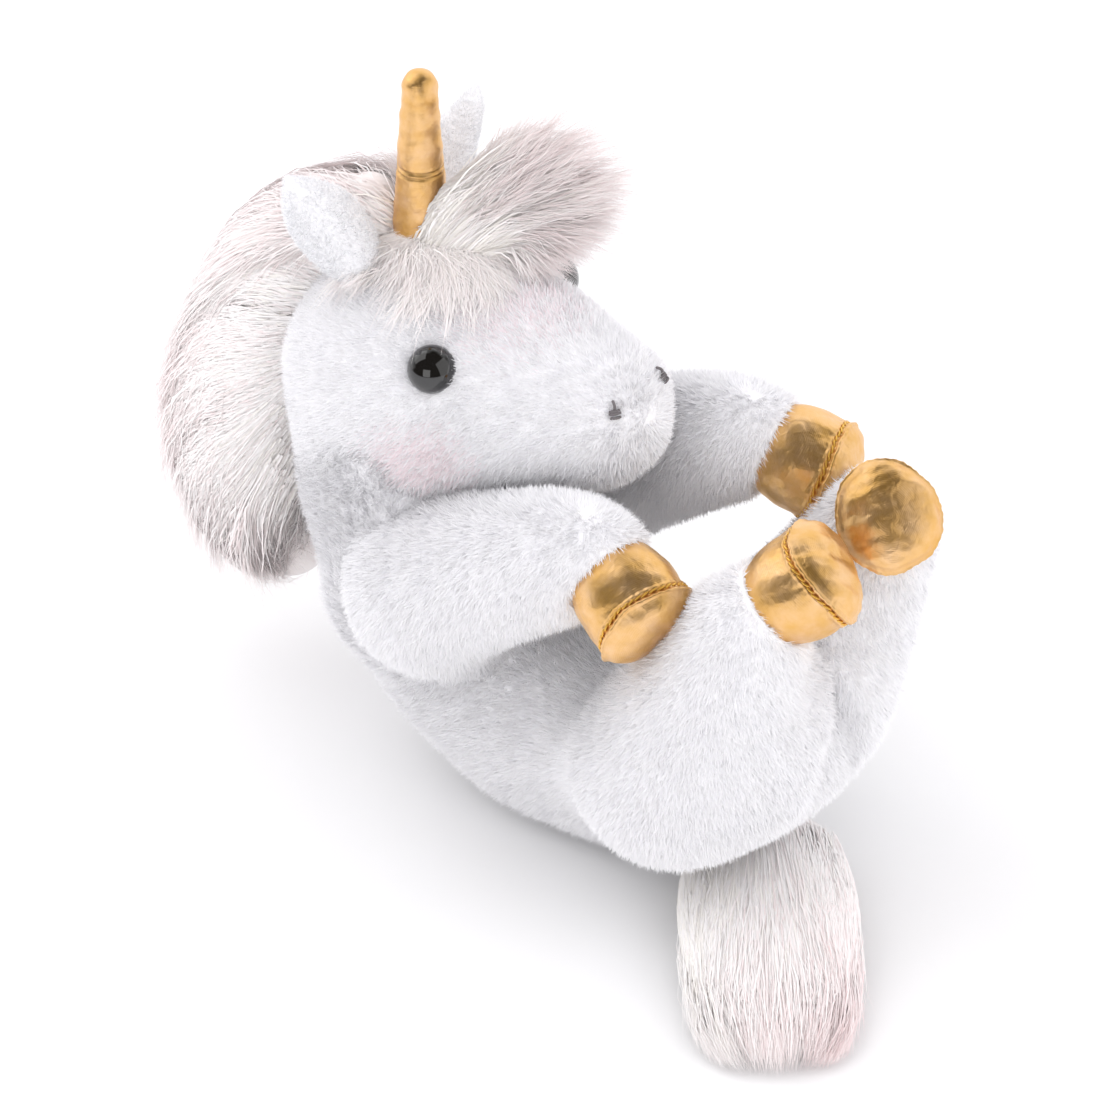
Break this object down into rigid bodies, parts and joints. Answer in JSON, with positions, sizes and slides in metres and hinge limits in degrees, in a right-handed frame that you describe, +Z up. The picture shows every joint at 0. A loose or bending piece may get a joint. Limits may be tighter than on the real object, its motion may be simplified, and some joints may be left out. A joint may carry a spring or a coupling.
{
  "type": "plush unicorn",
  "caption": "Stuffed toy unicorn lying curled on its back, with long-haired mane, forelock and tail, gold foil horn and hooves.",
  "frame": {"origin": "middle of the flat patch of the back that it rests on", "axes": "+Z up out of the floor, +X to the animal's left, -Y towards its feet and face"},
  "size_m": [0.1142, 0.2374, 0.195],
  "materials": {
    "white_plush": "matte",
    "ear_plush": "matte",
    "pink_hair": "matte",
    "stuffing": "matte",
    "gold_foil": "gloss",
    "gold_thread": "satin",
    "black_eye": "gloss",
    "washer_plastic": "matte",
    "grey_thread": "matte",
    "backing": "matte"
  },
  "bodies": {
    "torso": {"body_cover": "white_plush", "body_stuffing": "stuffing", "mane_neck": "pink_hair"},
    "head": {"head_cover": "white_plush", "head_stuffing": "stuffing", "nostril_left": "grey_thread", "nostril_right": "grey_thread", "horn_cover": "gold_foil", "horn_stuffing": "stuffing", "eye_left": "black_eye", "eye_right": "black_eye", "eye_washer_left": "washer_plastic", "eye_washer_right": "washer_plastic", "mane_crest": "pink_hair", "forelock": "pink_hair"},
    "tail": {"tail_root": "backing", "tail_hair": "pink_hair"},
    "front_left_leg": {"front_left_leg_cover": "white_plush", "front_left_leg_stuffing": "stuffing", "front_left_hoof_wrap": "gold_foil", "front_left_hoof_sole": "gold_foil", "front_left_hoof_seam": "gold_thread"},
    "hind_left_leg": {"hind_left_leg_cover": "white_plush", "hind_left_leg_stuffing": "stuffing", "hind_left_hoof_wrap": "gold_foil", "hind_left_hoof_sole": "gold_foil", "hind_left_hoof_seam": "gold_thread"},
    "ear_left": {"ear_back_left": "ear_plush", "ear_lining_left": "ear_plush"},
    "front_right_leg": {"front_right_leg_cover": "white_plush", "front_right_leg_stuffing": "stuffing", "front_right_hoof_wrap": "gold_foil", "front_right_hoof_sole": "gold_foil", "front_right_hoof_seam": "gold_thread"},
    "hind_right_leg": {"hind_right_leg_cover": "white_plush", "hind_right_leg_stuffing": "stuffing", "hind_right_hoof_wrap": "gold_foil", "hind_right_hoof_sole": "gold_foil", "hind_right_hoof_seam": "gold_thread"},
    "ear_right": {"ear_back_right": "ear_plush", "ear_lining_right": "ear_plush"}
  },
  "joints": [
    {"name": "head_nod", "type": "hinge", "parent": "torso", "child": "head", "pos_m": [0, 0.0488, 0.1135], "axis": [1, 0, 0], "range_deg": [-10, 3], "stiffness_Nm_per_rad": 0.12},
    {"name": "shoulder_left", "type": "hinge", "parent": "torso", "child": "front_left_leg", "pos_m": [0.031, 0.029, 0.07], "axis": [0, 0, 1], "range_deg": [0, 25], "stiffness_Nm_per_rad": 0.06},
    {"name": "hip_left", "type": "hinge", "parent": "torso", "child": "hind_left_leg", "pos_m": [0.026, -0.04172, 0.04328], "axis": [0, 1, 0], "range_deg": [0, 20], "stiffness_Nm_per_rad": 0.08},
    {"name": "shoulder_right", "type": "hinge", "parent": "torso", "child": "front_right_leg", "pos_m": [-0.031, 0.029, 0.07], "axis": [0, 0, -1], "range_deg": [0, 25], "stiffness_Nm_per_rad": 0.06},
    {"name": "hip_right", "type": "hinge", "parent": "torso", "child": "hind_right_leg", "pos_m": [-0.026, -0.04172, 0.04328], "axis": [0, -1, 0], "range_deg": [0, 20], "stiffness_Nm_per_rad": 0.08},
    {"name": "ear_flop_left", "type": "hinge", "parent": "head", "child": "ear_left", "pos_m": [0.0182, 0.0586, 0.1462], "axis": [0.2297, -0.96, 0.1599], "range_deg": [-20, 20], "stiffness_Nm_per_rad": 0.004},
    {"name": "ear_flop_right", "type": "hinge", "parent": "head", "child": "ear_right", "pos_m": [-0.0182, 0.0586, 0.1462], "axis": [-0.7594, -0.6041, -0.2416], "range_deg": [-20, 20], "stiffness_Nm_per_rad": 0.004},
    {"name": "tail_swing", "type": "hinge", "parent": "torso", "child": "tail", "pos_m": [0, -0.056, 0.006], "axis": [0, 0, 1], "range_deg": [-15, 15], "stiffness_Nm_per_rad": 0.02}
  ]
}
